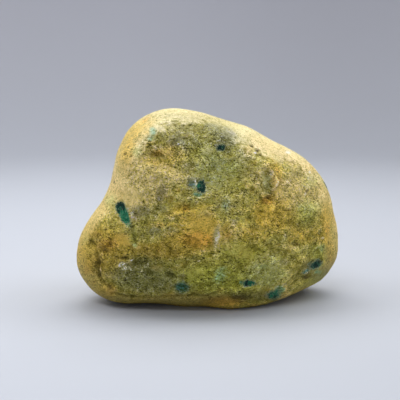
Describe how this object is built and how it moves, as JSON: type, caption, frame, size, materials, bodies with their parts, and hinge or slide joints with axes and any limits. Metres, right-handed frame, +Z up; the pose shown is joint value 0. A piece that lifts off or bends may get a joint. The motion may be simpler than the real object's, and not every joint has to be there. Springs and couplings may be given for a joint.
{
  "type": "jadeite boulder",
  "caption": "Water-worn jadeite boulder with a rounded crown, a side lobe and a speckled face, resting on a small worn flat.",
  "frame": {"origin": "on the ground under the middle of the stone's box, in the plane of the worn flat that it rests on", "axes": "+X runs to the right along the longest extent as the speckled face is seen, +Y runs away from somebody looking at that face, +Z is up"},
  "size_m": [0.26, 0.172, 0.189],
  "materials": {
    "jadeite_skin": "yellow-ochre weathered skin, dull satin on the worn rims and grainy on the broken face, with olive, grey and teal-green mottling"
  },
  "bodies": {
    "root": {"boulder": "jadeite_skin"}
  },
  "joints": []
}
